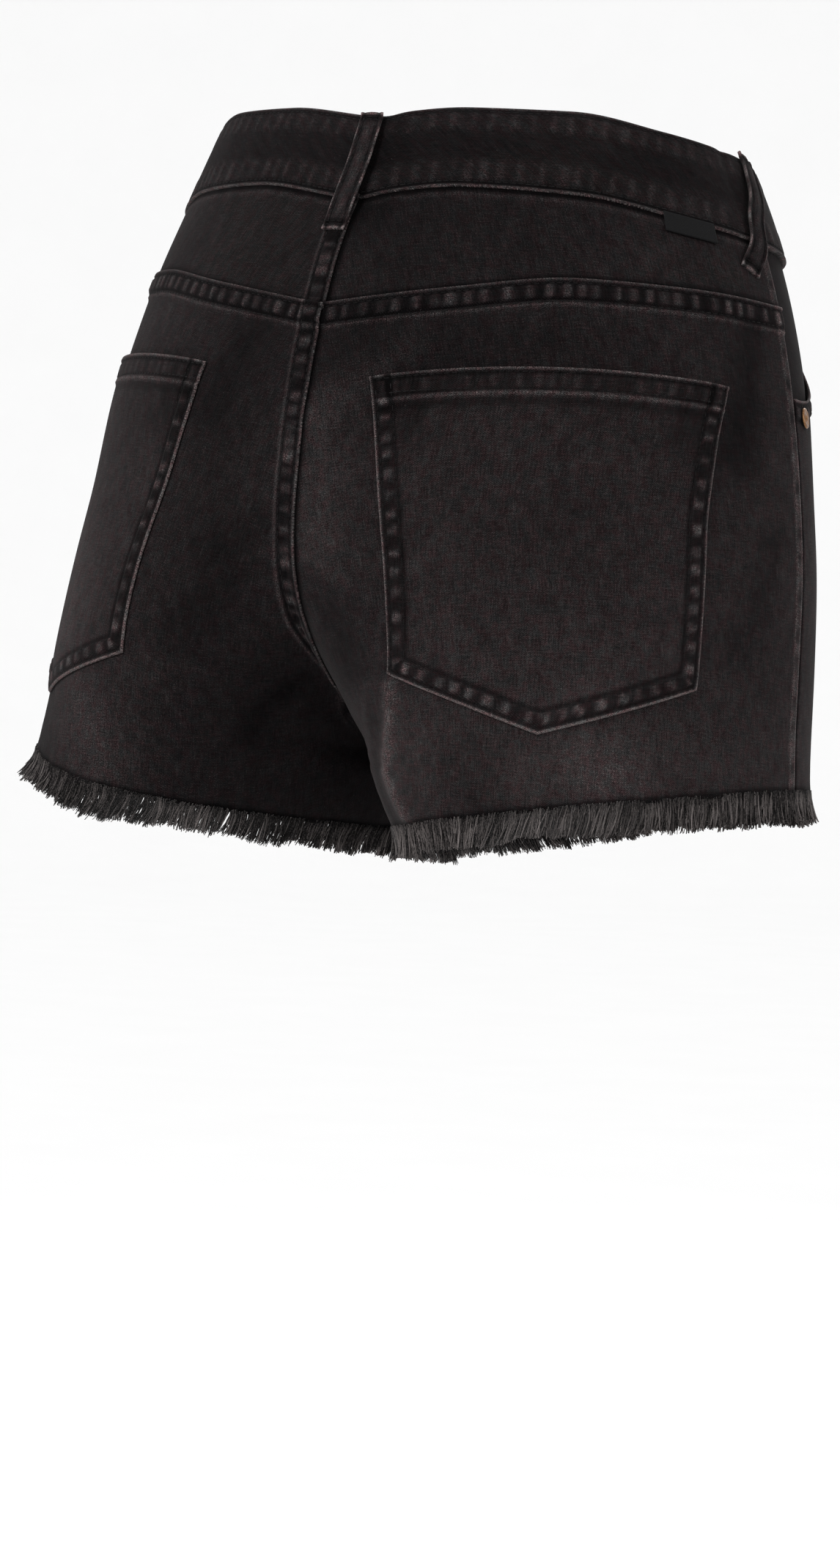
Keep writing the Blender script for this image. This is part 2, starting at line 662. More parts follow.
class Finish:
    """A procedural material, built up node by node. Most of its methods give an output socket."""

    def __init__(self, name):
        self.material = bpy.data.materials.new(name)
        self.material.use_nodes = True
        self.nodes = self.material.node_tree.nodes
        self.links = self.material.node_tree.links
        self.shader = self.nodes["Principled BSDF"]

    def add(self, kind, settings=(), inputs=()):
        """A node, with its settings, and its inputs linked or set."""
        made = self.nodes.new(kind)
        for key, value in dict(settings).items():
            setattr(made, key, value)
        for key, value in dict(inputs).items():
            if isinstance(value, bpy.types.NodeSocket):
                self.links.new(value, made.inputs[key])
            else:
                made.inputs[key].default_value = value
        return made

    def attribute(self, name):
        """A value that the mesh keeps at each of its points."""
        return self.add("ShaderNodeAttribute", {"attribute_name": name}).outputs["Fac"]

    def cut(self, scale=(1, 1, 1), turn=0.0):
        """Millimetres on the cut piece, scaled and turned."""
        place = self.add("ShaderNodeUVMap", {"uv_map": "cut"}).outputs["UV"]
        mapping = self.add("ShaderNodeMapping", inputs={"Vector": place})
        mapping.inputs["Scale"].default_value = scale
        mapping.inputs["Rotation"].default_value = (0, 0, turn)
        return mapping.outputs["Vector"]

    def body(self, scale=1.0):
        """Object coordinates, in millimetres times scale."""
        place = self.add("ShaderNodeTexCoord").outputs["Object"]
        mapping = self.add("ShaderNodeMapping", inputs={"Vector": place})
        mapping.inputs["Scale"].default_value = (1000 * scale,) * 3
        return mapping.outputs["Vector"]

    def noise(self, place, scale, detail=2.0, rough=0.5):
        """Soft uneven spots, about one to each 1 / scale millimetres."""
        inputs = {"Vector": place, "Scale": scale, "Detail": detail, "Roughness": rough}
        return self.add("ShaderNodeTexNoise", inputs=inputs).outputs["Fac"]

    def waves(self, place, pitch, distortion=0.0):
        """Straight ribs, one to each pitch in millimetres."""
        inputs = {"Vector": place, "Scale": 2 * math.pi / (20 * pitch), "Distortion": distortion}
        inputs["Detail"] = 1.0
        return self.add("ShaderNodeTexWave", {"wave_type": "BANDS"}, inputs).outputs["Fac"]

    def maths(self, operation, a, b=0.0, c=0.0):
        """Two or three values combined."""
        made = self.add("ShaderNodeMath", {"operation": operation}, {0: a, 1: b, 2: c})
        return made.outputs["Value"]

    def span(self, value, low, high, to_low=0.0, to_high=1.0):
        """One range mapped to another, and kept inside it."""
        inputs = {"Value": value, "From Min": low, "From Max": high}
        inputs.update({"To Min": to_low, "To Max": to_high})
        return self.add("ShaderNodeMapRange", {"clamp": True}, inputs).outputs["Result"]

    def blend(self, share, a, b, kind="MIX"):
        """Colour a with a share of colour b laid on it."""
        mix = self.add("ShaderNodeMix", {"data_type": "RGBA", "blend_type": kind})
        for index, value in ((0, share), (6, a), (7, b)):
            if isinstance(value, bpy.types.NodeSocket):
                self.links.new(value, mix.inputs[index])
            elif index == 0:
                mix.inputs[index].default_value = value
            else:
                mix.inputs[index].default_value = (*value, 1.0)
        return mix.outputs[2]

    def bump(self, height, strength, distance):
        """Fine relief, up to a distance in millimetres."""
        made = self.add("ShaderNodeBump", inputs={"Height": height, "Strength": strength})
        made.inputs["Distance"].default_value = distance * MM
        self.links.new(made.outputs["Normal"], self.shader.inputs["Normal"])

    def set(self, **values):
        """Sets or links the shader's own sockets, and gives the material."""
        for key, value in values.items():
            socket = self.shader.inputs[key.replace("_", " ")]
            if isinstance(value, bpy.types.NodeSocket):
                self.links.new(value, socket)
            elif isinstance(value, tuple) and len(value) == 3 and socket.type == "RGBA":
                socket.default_value = (*value, 1.0)
            else:
                socket.default_value = value
        return self.material


def denim(name, dark, middle, worn, light):
    """Washed-black twill: fine diagonal rib, slubs, specks and worn ridges."""
    made = Finish(name)
    twill = made.waves(made.cut(turn=math.radians(58)), 0.62, 0.6)
    warp = made.noise(made.cut((2.1, 0.13, 1)), 1.0, 2.0, 0.7)
    weft = made.noise(made.cut((0.14, 1.9, 1)), 1.0, 2.0, 0.7)
    grain = made.noise(made.cut(), 1.7, 2.0, 0.8)
    mottle = made.noise(made.cut((1.0, 0.6, 1)), 0.16, 3.0, 0.65)
    clouds = made.noise(made.body(), 0.022, 2.0, 0.5)

    rub = made.span(grain, 0.32, 0.68, 0.25, 1.5)
    tone = made.maths("MULTIPLY", made.attribute("wear"), rub)
    tone = made.maths("MULTIPLY_ADD", made.attribute("fade"), 0.30, tone)
    for part, low, high, share in (
        (clouds, 0.3, 0.7, 0.10),
        (mottle, 0.3, 0.7, 0.16),
        (warp, 0.3, 0.7, 0.30),
        (weft, 0.3, 0.7, 0.24),
        (grain, 0.3, 0.7, 0.46),
        (twill, 0.0, 1.0, 0.24),
    ):
        tone = made.maths("MULTIPLY_ADD", made.span(part, low, high, -0.5, 0.5), share, tone)

    ramp = made.add("ShaderNodeValToRGB", inputs={"Fac": made.span(tone, -1.0, 1.0)})
    stops = ramp.color_ramp.elements
    stops[0].position, stops[0].color = 0.26, (*dark, 1)
    stops[1].position, stops[1].color = 0.98, (*light, 1)
    stops.new(0.50).color = (*middle, 1)
    stops.new(0.74).color = (*worn, 1)
    hue = made.noise(made.cut((1, 0.8, 1)), 0.26, 3.0, 0.75)
    warm = made.span(hue, 0.44, 0.62, 0.0, 0.9)
    cool = made.span(hue, 0.34, 0.48, 0.65, 0.0)
    tinted = made.blend(warm, ramp.outputs["Color"], (1.06, 0.74, 0.77), "MULTIPLY")
    tinted = made.blend(cool, tinted, (0.74, 0.88, 0.90), "MULTIPLY")
    specks = made.span(made.noise(made.cut(), 0.95, 1.0, 0.5), 0.73, 0.79, 0, 0.5)
    colour = made.blend(specks, tinted, worn)

    height = made.maths("MULTIPLY_ADD", twill, 0.5, made.maths("MULTIPLY", grain, 0.7))
    height = made.maths("MULTIPLY_ADD", warp, 0.5, height)
    made.bump(height, 0.5, 0.16)
    return made.set(
        Base_Color=colour,
        Roughness=made.span(grain, 0.2, 0.8, 0.78, 0.95),
        Sheen_Weight=0.03,
        Sheen_Roughness=0.45,
        Sheen_Tint=(0.75, 0.72, 0.72),
        Specular_IOR_Level=0.02,
    )


def thread_finish(name, dark, light, sheen):
    """Cotton thread, with each thread's own tone."""
    made = Finish(name)
    fibre = made.noise(made.body(), 1.6, 2.0, 0.6)
    tone = made.maths("MULTIPLY_ADD", made.span(fibre, 0.3, 0.7, -0.5, 0.5), 0.35, made.attribute("wear"))
    colour = made.blend(made.span(tone, 0.0, 1.0), dark, light)
    made.bump(fibre, 0.4, 0.1)
    return made.set(
        Base_Color=colour,
        Roughness=made.span(fibre, 0.2, 0.8, 0.8, 0.95),
        Sheen_Weight=sheen,
        Specular_IOR_Level=0.04,
    )


def brass(name, colour, worn):
    """Aged brass with rubbed high spots and fine scratches."""
    made = Finish(name)
    patina = made.noise(made.body(), 0.9, 3.0, 0.6)
    scratches = made.noise(made.body(3.0), 1.4, 2.0, 0.7)
    tint = made.blend(made.span(patina, 0.35, 0.65), colour, worn)
    made.bump(scratches, 0.25, 0.05)
    return made.set(Base_Color=tint, Metallic=1.0, Roughness=made.span(patina, 0.3, 0.7, 0.28, 0.5))


def woven_band(name, dark, light, pitch):
    """A close flat weave, as on tape and labels."""
    made = Finish(name)
    across = made.waves(made.cut(), pitch)
    down = made.waves(made.cut(turn=math.pi / 2), pitch)
    weave = made.maths("MULTIPLY", across, down)
    fuzz = made.noise(made.cut(), 1.2, 2.0, 0.6)
    tone = made.maths("MULTIPLY_ADD", fuzz, 0.6, made.maths("MULTIPLY", weave, 0.5))
    colour = made.blend(made.span(tone, 0.1, 0.9), dark, light)
    made.bump(weave, 0.5, 0.12)
    rough = made.span(fuzz, 0.2, 0.8, 0.6, 0.8)
    return made.set(Base_Color=colour, Roughness=rough, Specular_IOR_Level=0.1)


BODY_DENIM = denim(
    "washed_black_denim",
    dark=(0.0010, 0.0009, 0.0010),
    middle=(0.0070, 0.0061, 0.0063),
    worn=(0.029, 0.0255, 0.0255),
    light=(0.110, 0.098, 0.096),
)
POCKET_DENIM = denim(
    "pocket_denim",
    dark=(0.0012, 0.0011, 0.0011),
    middle=(0.0086, 0.0074, 0.0076),
    worn=(0.033, 0.029, 0.029),
    light=(0.120, 0.106, 0.103),
)
BAG_DENIM = denim(
    "pocket_facing_denim",
    dark=(0.0010, 0.0009, 0.0010),
    middle=(0.0055, 0.0049, 0.0051),
    worn=(0.020, 0.018, 0.018),
    light=(0.060, 0.054, 0.054),
)
STITCHES = thread_finish("black_topstitch_thread", (0.0022, 0.0020, 0.0021), (0.0090, 0.0080, 0.0082), 0.03)
FRAYED = thread_finish("frayed_thread_ends", (0.004, 0.0036, 0.0037), (0.17, 0.150, 0.145), 0.06)
TAB = woven_band("plain_woven_tab", (0.0010, 0.0010, 0.0012), (0.0045, 0.0045, 0.0047), 0.45)
TAPE = woven_band("zip_tape_weave", (0.003, 0.003, 0.0033), (0.012, 0.0115, 0.012), 0.6)
METAL = brass("aged_brass", (0.11, 0.052, 0.024), (0.27, 0.15, 0.075))


# ---- Panels ----

SEWN = {}  # rows of places for stitches, by the name of their piece


def back_columns():
    """The columns of a back piece, closest at its side seam and its centre seam."""
    return graded(215, 15, 17, 0.85, 1.8)


def lap_turn(side, height):
    """How far the left pieces lap over the centre back, as a turn. They end together at the crotch."""
    if side == RIGHT:
        return np.zeros_like(height)
    return SEAM_LAP / HIP_TURN * ease((height - CROTCH - 6) / 20)


def add_row(part, points, outs):
    """Keeps a row of places for the stitching."""
    SEWN.setdefault(part, []).append((points, outs))


def row_at(distances, wanted):
    """The grid row nearest to a distance from the edge."""
    return int(np.argmin(np.abs(distances - wanted)))


def apart(path, place):
    """How far the points of a path are from a place."""
    return np.linalg.norm(path - place, axis=-1)


def make_yoke(part, side):
    """A back yoke. The left one laps over the right one at the centre back."""
    end = 1.0 + SEAM_LAP / HIP_TURN * (side == LEFT)
    turn = SIDE_SEAM + back_columns()[None, :] * (end - SIDE_SEAM)
    top = line_height("band_seam", side, turn) + SEAM_UNDER
    bottom = line_height("yoke_seam", side, turn) - SEAM_UNDER
    height = top + (bottom - top) * graded(50, 12, 6, 0.9, 1.8)[:, None]
    turn = np.broadcast_to(turn, height.shape)
    base, outs = cloth(side, turn, height)
    lift, wear = back_side_seam(side, base)
    wear += humps(nearness(base, base[0])[0], (-0.55, 3.0, 1.0), (0.2, 5.0, 1.5))
    wear -= 0.45 * hump(nearness(base, base[-1])[0], 2.6, 1.2)
    away, along = nearness(base, base[:, -1])
    if side == LEFT:
        more, worn = felled_seam(away, along, 11)
        lift, wear = lift + more, wear + worn
    else:
        wear -= 0.7 * hump(away, 6.0, 1.5)
    points = base + outs * lift[..., None]
    if side == LEFT:
        for distance in SEAM_ROWS:
            k = row_at(apart(base[10], base[10, -1]), distance)
            add_row("centre_back_stitches", points[3:-5, k], outs[3:-5, k])
    return cloth_piece(part, points, outs, wear, fading(side, turn, height))


def make_back(part, side):
    """A back panel, from the yoke to the hem, with the inseam below the crotch."""
    share = back_columns()[None, :]
    middle = SIDE_SEAM + share * (1.0 - SIDE_SEAM)
    top = line_height("yoke_seam", side, middle)
    bottom = line_height("hem", side, middle)
    height = top + (bottom - top) * graded(200, 15, 9, 0.85, 1.8)[:, None]
    turn = SIDE_SEAM + share * (1.0 + lap_turn(side, height) - SIDE_SEAM)
    base, outs = cloth(side, turn, height)
    lift, wear = felled_seam(*nearness(base, base[0]), 21 + side)
    wear = wear + fold_wear(side, turn, height)
    more, worn = back_side_seam(side, base)
    lift, wear = lift + more, wear + worn
    away, along = nearness(base, base[:, -1])
    above = ease((height - CROTCH - 8) / 18)
    if side == LEFT:
        away = away * (1 + 0.9 * ease((-height - 185) / 35))
        more, worn = felled_seam(away, along, 12)
        lift, wear = lift + more * above, wear * (1 - 0.6 * ease((10 - away) / 3)) + worn * above
    else:
        wear -= 0.7 * hump(away, 6.0, 1.5) * above
    inseam = 1 - ease((height - CROTCH + 4) / 10)
    wear += inseam * humps(away, (0.5, 1.2, 0.8), (-0.5, 0.2, 0.5))
    more, worn = hem_edge(base)
    lift, wear = lift + more, wear + worn
    points = base + outs * lift[..., None]
    sewn = base[:, -1, 2] > CROTCH + 56
    for distance in SEAM_ROWS:
        k = row_at(apart(base[:, 40], base[0, 40]), distance)
        add_row("yoke_seam_stitches", points[k, 3:-3], outs[k, 3:-3])
        if side == LEFT:
            k = row_at(apart(base[20], base[20, -1]), distance)
            add_row("centre_back_stitches", points[sewn, k], outs[sewn, k])
    return cloth_piece(part, points, outs, wear, fading(side, turn, height))


def scoop_top(side, turn, under=SEAM_UNDER):
    """The front's upper edge: the band seam, then the pocket's scoop down to the side seam."""
    beside = np.clip((SIDE_SEAM - turn) / SCOOP_WIDTH, 0, 1)
    return line_height("band_seam", side, turn) + under - (SCOOP_DEPTH + under) * np.sqrt(1 - beside**2)


def fly_lift(side, turn, height):
    """How far the left front stands out where it laps the right one."""
    if side == RIGHT:
        return np.zeros(np.broadcast(turn, height).shape)
    near = ease(1.6 * (1 - (1 + turn) * HIP_TURN / 24))
    return LAYER * near * ease((height - FLY_BOTTOM) / 18)


def fly_reach(height):
    """How far from the centre front the fly's outer row of stitches lies."""
    return FLY_WIDTH * np.sqrt(np.clip((height - FLY_BOTTOM) / FLY_ROUND, 0, 1))


def fly_stitching(turn, height):
    """The two curved rows that hold the fly: (lift, wear)."""
    swell = puckers(47)(-height)
    from_row = (1 + turn) * HIP_TURN - fly_reach(height)
    between = shelf(from_row, -5.2, -0.8, 1.0)
    lift = 0.35 * swell * between + humps(from_row, (-0.3, 0, 0.7), (-0.3, -6, 0.7))
    wear = (0.8 * swell - 0.3) * between + humps(from_row, (-0.55, 0, 0.7), (-0.55, -6, 0.7))
    shown = ease((height - FLY_BOTTOM) / 4)
    return lift * shown, wear * shown


def make_front(part, side):
    """A front panel with its pocket's scoop. The left one laps the right one as the fly."""
    scoop = SIDE_SEAM - SCOOP_WIDTH * np.sin(math.pi / 2 * np.linspace(0, 1, 62))
    rest = graded(110, 2, 16, 0.85, 2.4)[1:]
    share = np.concatenate([scoop, scoop[-1] + rest * (-1 - scoop[-1])])[None, :]
    top = scoop_top(side, share)
    bottom = line_height("hem", side, share)
    height = top + (bottom - top) * graded(210, 14, 9, 0.9, 2.4)[:, None]
    past = FLY_LAP / HIP_TURN * ease((height - FLY_BOTTOM) / 18 - 1) * (side == LEFT)
    turn = share - past * ease((-share - 0.86) / 0.14)
    base, outs = cloth(side, turn, height)
    away, along = nearness(base, base[0, : len(scoop)])
    lift, wear = patch_border(away, along, 41 + side)
    wear = wear + fold_wear(side, turn, height)
    band_away = nearness(base, base[0, len(scoop) - 1 :])[0]
    wear -= 0.5 * hump(band_away, 3.0, 1.0)
    side_away = nearness(base, base[:, 0])[0]
    lift += humps(side_away, (-0.4, 0, 0.5), (0.25, 1.4, 1.0))
    wear += humps(side_away, (0.45, 1.0, 0.7), (-0.5, 0, 0.4))
    centre_away, centre_along = nearness(base, base[:, -1])
    if side == LEFT:
        more, worn = patch_border(centre_away, centre_along, 43)
        above = ease((height - CROTCH - 8) / 18)
        on_fly = ease((height - FLY_BOTTOM - 4) / 14)
        lift, wear = lift + more * (0.5 * on_fly + 0.5 * above), wear + worn * above
        more, worn = fly_stitching(turn, height)
        below_band = band_away > 0
        lift, wear = lift + more * below_band, wear + worn * below_band
    else:
        wear -= 0.4 * hump(centre_away, 0.6, 0.8)
    more, worn = hem_edge(base)
    lift, wear = lift + more + fly_lift(side, turn, height), wear + worn
    points = base + outs * lift[..., None]
    columns = list(range(3, len(scoop) - 3))
    for distance in PATCH_ROWS:
        picked = ([row_at(away[:30, k], distance) for k in columns], columns)
        add_row("front_pocket_stitches", points[picked], outs[picked])
    if side == LEFT:
        rows = np.linspace(FLY_BOTTOM + 2, FLY_TOP, 40)
        for inset in FLY_ROWS:
            row_turn = -1 + np.maximum(fly_reach(rows) - inset, 1.0) / HIP_TURN
            add_row("fly_stitches", *cloth(side, row_turn, rows, fly_lift(side, row_turn, rows) + 0.2))
    return cloth_piece(part, points, outs, wear, fading(side, turn, height))


def make_front_pocket(part, side):
    """The facing and bag behind a front pocket's opening, as one piece with a rounded bottom."""
    turn = SIDE_SEAM + BAG_UNDER_SIDE - np.linspace(0, BAG_WIDTH + BAG_UNDER_SIDE, 56)[None, :]
    top = line_height("band_seam", side, turn) + SEAM_UNDER
    from_low = (-turn - BAG_LOW_TURN) / (BAG_WIDTH / 2)
    bottom = BAG_BOTTOM + BAG_CORNER_RISE * from_low**2
    height = top + (bottom - top) * np.linspace(0, 1, 70)[:, None]
    turn = np.broadcast_to(turn, height.shape)
    base, outs = cloth(side, turn, height, BAG_SINK)
    wear = 0.3 * hump(nearness(base, base[:, 0])[0], 1.2, 0.8)
    fade = fading(side, turn, height) - 0.3
    return cloth_piece(part, base, outs, wear, fade, BAG_DENIM, POCKET_CLOTH)


def pocket_place(side, part, down):
    """Turn and height of a share across and a share down a back pocket."""
    low = POCKET_TIP + (POCKET_CORNER - POCKET_TIP) * np.abs(2 * part - 1)
    high = POCKET_TOP - POCKET_TOP_DIP * (2 * part - 1) ** 2 + POCKET_TOP_TILT[side] * (2 * part - 1)
    downs = column(POCKET_EDGES, "down")
    near = curve(downs, column(POCKET_EDGES, "outer"), down)
    far = curve(downs, column(POCKET_EDGES, "inner"), down)
    height = high + (low - high) * down
    turn = turn_at(side, near + (far - near) * part + POCKET_SHIFT[side], height)
    return turn, height + SIDE_TILT * form(side, turn, height)[..., 0]


def make_back_pocket(part, side):
    """A patch pocket: a folded top, and a stitched border down its sides to a point."""
    across = graded(142, 13, 13, 0.8, 2.4)[None, :]
    down = graded(132, 16, 13, 0.8, 2.4)[:, None]
    turn, height = pocket_place(side, *np.broadcast_arrays(across, down))
    base, outs = cloth(side, turn, height)
    away, along = nearness(base, np.concatenate([base[:, 0], base[-1, 1:], base[::-1, -1][1:]]))
    lift, wear = patch_border(away, along, 51 + side)
    top_away, top_along = nearness(base, base[0])
    more, worn = pocket_hem(top_away, top_along, 55 + side)
    near_top = ease((12 - top_away) / 3)
    inside = ease((away - 1.5) / 1.5)
    wear = wear * (1 - 0.7 * near_top * inside) + worn * (0.35 + 0.65 * inside)
    lift = lift * (1 - 0.5 * near_top) + more
    wear -= 0.5 * shelf(away, 6.6, 9.4, 0.8) * near_top
    wear -= 0.14 * shelf(away, 9, 22, 6) * ease((40 - top_away) / 20)
    lift += POCKET_LIFT + 0.9 * ease(away / 14) * ease((60 - top_away) / 50)
    lift -= 0.9 * ease(1 - away / 1.2)
    points = base + outs * lift[..., None]
    for distance in PATCH_ROWS:
        first = row_at(away[40, :20], distance)
        low = row_at(away[::-1, 42][:20], distance)
        add_row("back_pocket_stitches", inner_border(points, first, low), inner_border(outs, first, low))
    for distance in POCKET_HEM_ROWS:
        k = row_at(top_away[:, 42], distance)
        add_row("back_pocket_stitches", points[k, 3:-3], outs[k, 3:-3])
    fade = fading(side, turn, height)
    return cloth_piece(part, points, outs, wear, fade, POCKET_DENIM, POCKET_CLOTH)


def inner_border(grid, first, low):
    """A row round a pocket: down one side, along the bottom and up the other side."""
    last, bottom = -1 - first, -1 - low
    return np.concatenate([grid[4:bottom, first], grid[bottom, first:last], grid[bottom:3:-1, last]])


def band_places():
    """Side, turn and lift along the band: the end under the lap, right round the back, and the lap."""
    over = BAND_PROUD + BAND_THICKNESS + LAP_CLEARANCE
    under = np.linspace(-1 + BAND_UNDERLAP / WAIST_TURN, -1, 14, endpoint=False)
    around = np.linspace(-1, 1, 230)
    back = around[::-1][1:]
    lap = np.linspace(-1, -1 + BAND_LAP / WAIST_TURN, 10)[1:]
    side = np.repeat([LEFT, RIGHT, LEFT, RIGHT], [len(under), len(around), len(back), len(lap)])
    turn = np.concatenate([under, around, back, lap])
    rise = BAND_PROUD + (over - BAND_PROUD) * ease((-back - 0.68) / 0.16)
    lift = np.concatenate(
        [np.full(len(under), BAND_PROUD), np.full(len(around), BAND_PROUD), rise, np.full(len(lap), over)]
    )
    return side, turn, lift


def make_waistband():
    """The band, in one strip from the end under the lap, round the back, to the lap's end."""
    down = graded(35, 10, 12, 0.8, 1.3)
    sides, turns, lifts = band_places()
    base = np.zeros((len(down), len(turns), 3))
    outs = np.zeros_like(base)
    fade = np.zeros(base.shape[:2])
    for side in (LEFT, RIGHT):
        own = sides == side
        turn = turns[own][None, :]
        high = line_height("waist", side, turn)
        low = line_height("band_seam", side, turn)
        height = high + (low - high) * down[:, None]
        turn = np.broadcast_to(turn, height.shape)
        base[:, own], outs[:, own] = cloth(side, turn, height, lifts[own][None, :])
        fade[:, own] = fading(side, turn, height)
    top_away, along = nearness(base, base[0])
    low_away = nearness(base, base[-1])[0]
    upper = puckers(61, spacing=(6.0, 9.5), width=(2.0, 4.0))(along) * shelf(top_away, 3.0, 10.5, 3.0)
    lower = puckers(62, spacing=(6.0, 9.5), width=(2.0, 4.2))(along) * shelf(low_away, 3.0, 11.5, 3.0)
    lift = 0.30 * upper + 0.38 * lower - 0.30 * hump(top_away, 2.2, 0.5)
    lift += humps(low_away, (-0.32, 2.2, 0.6), (0.25, 0.6, 0.7))
    lift -= 1.1 * (1 - np.sqrt(1 - np.clip(1 - top_away / 1.2, 0, 1) ** 2))
    wear = 0.24 * upper + 0.28 * lower - 0.12 * shelf(top_away, 11, 24, 4)
    wear += humps(top_away, (0.60, 0.6, 0.9), (-0.30, 2.2, 0.8))
    wear += humps(low_away, (0.80, 0.4, 0.75), (-0.5, 1.9, 0.8))
    for end in (0, -1):
        end_away = nearness(base, base[:, end])[0]
        wear += humps(end_away, (0.8, 0.4, 0.6), (-0.5, 2.0, 0.7))
        lift -= 0.3 * hump(end_away, 2.0, 0.6)
    points = base + outs * lift[..., None]
    for edge in (0, -1):
        k = row_at(apart(base[:, 60], base[edge, 60]), BAND_ROW)
        add_row("waistband_stitches", points[k, 3:-3], outs[k, 3:-3])
    return cloth_piece("waistband", points, outs, wear, fade - 0.15, wall=BAND_THICKNESS)


def make_belt_loop(loop):
    """A strip that bows off the band between its two sewn ends."""
    down = graded(48, 8, 8, 0.6, 0.9)
    across = np.linspace(-1, 1, 25) * LOOP_WIDTH / 2
    high = line_height("waist", loop.side, np.array(loop.upper_turn)) + 0.2
    low = line_height("band_seam", loop.side, np.array(loop.lower_turn)) - LOOP_BELOW_BAND
    turn = loop.upper_turn + (loop.lower_turn - loop.upper_turn) * down
    height = high + (low - high) * down
    stand = BAND_PROUD + 1.6 + LOOP_STAND_OFF * np.sin(np.pi * np.clip(down, 0, 1))
    stand -= (BAND_PROUD + 0.2) * ease((down - 0.74) / 0.2)
    if loop.name == "belt_loop_back":
        stand = stand + 1.2 * ease((down - 0.5) / 0.3)
    centre, outs = cloth(loop.side, turn, height)
    centre = centre + outs * stand[:, None]
    up = np.gradient(centre, axis=0)
    up /= np.linalg.norm(up, axis=1, keepdims=True)
    over = np.cross(outs, up)
    over /= np.linalg.norm(over, axis=1, keepdims=True)
    face = np.cross(over, up)
    face *= np.sign((face * outs).sum(1))[:, None]
    sway = loop.sway * (np.sin(down * 9.0) + 0.5 * np.sin(down * 17 + 1.0))
    sway = sway + loop.bow * np.sin(np.pi * down**0.8)
    grid = centre[:, None, :] + over[:, None, :] * (across[None, :] + sway[:, None])[..., None]
    outs = np.broadcast_to(face[:, None, :], grid.shape)
    edge = LOOP_WIDTH / 2 - np.abs(across)[None, :]
    end = np.minimum(down, 1 - down)[:, None] * 49
    edge, end = np.broadcast_arrays(edge, end)
    lift = humps(edge, (0.35, 0.7, 0.7), (-0.25, 2.1, 0.6), (0.2, 5.5, 1.6))
    lift = lift - 0.010 * across[None, :] ** 2 - 0.3 * hump(end, 2.2, 0.8)
    wear = humps(edge, (0.95, 0.2, 0.6), (-0.45, 2.0, 0.8), (0.22, 5.5, 1.5))
    wear = wear * (0.65 + 0.35 * np.sin(down * 31 + 2)[:, None])
    wear += humps(end, (0.8, 0.3, 0.6), (-0.55, 2.6, 1.2))
    points = grid + outs * lift[..., None]
    for k in (3, 5, -6, -4):
        add_row("belt_loop_stitches", points[k, 2:-2], outs[k, 2:-2])
    for k in (4, -5):
        add_row("belt_loop_stitches", points[3:-3, k], outs[3:-3, k])
    return cloth_piece(loop.name, points, outs, wear, np.full(wear.shape, 0.05), wall=LOOP_CLOTH)


def make_tab():
    """The plain tab that hangs from the band's lower seam."""
    across = np.linspace(TAB_FROM, TAB_TO, 32)[None, :]
    down = np.linspace(0, 1, 12)[:, None]
    turn = turn_at(RIGHT, across, TAB_HEIGHT)
    height = line_height("band_seam", RIGHT, turn) + TAB_UNDER - (TAB_LENGTH + TAB_UNDER) * down
    turn = np.broadcast_to(turn, height.shape)
    base, outs = cloth(RIGHT, turn, height, 1.3)
    plain = np.zeros(height.shape)
    return cloth_piece("woven_tab", base, outs, plain, plain, TAB, wall=0.6)


# ---- Threads, stitches, metal ----


def strand_shape(rings):
    """A three-sided strand of unit radius, one unit from ring to ring."""
    shape = bmesh.new()
    bmesh.ops.create_circle(shape, cap_ends=True, radius=1.0, segments=3)
    edges = shape.edges[:]
    for _ in range(rings - 1):
        ring = bmesh.ops.extrude_edge_only(shape, edges=edges)["geom"]
        edges = [part for part in ring if isinstance(part, bmesh.types.BMEdge)]
        verts = [part for part in ring if isinstance(part, bmesh.types.BMVert)]
        edges = [edge for edge in edges if all(vert in verts for vert in edge.verts)]
        bmesh.ops.translate(shape, vec=(0, 0, 1), verts=verts)
    bmesh.ops.contextual_create(shape, geom=edges)
    bmesh.ops.recalc_face_normals(shape, faces=shape.faces)
    return parts_of(shape)


def wander(draw, arc_length, step, spread):
    """A slow, smooth change along the hem."""
    places = np.arange(-step, arc_length + 2 * step, step)
    values = draw.normal(0, spread, len(places))
    return lambda at: curve(places, values, at)


Ways = namedtuple("Ways", "length slant kick loose gather bend start_up layer width")


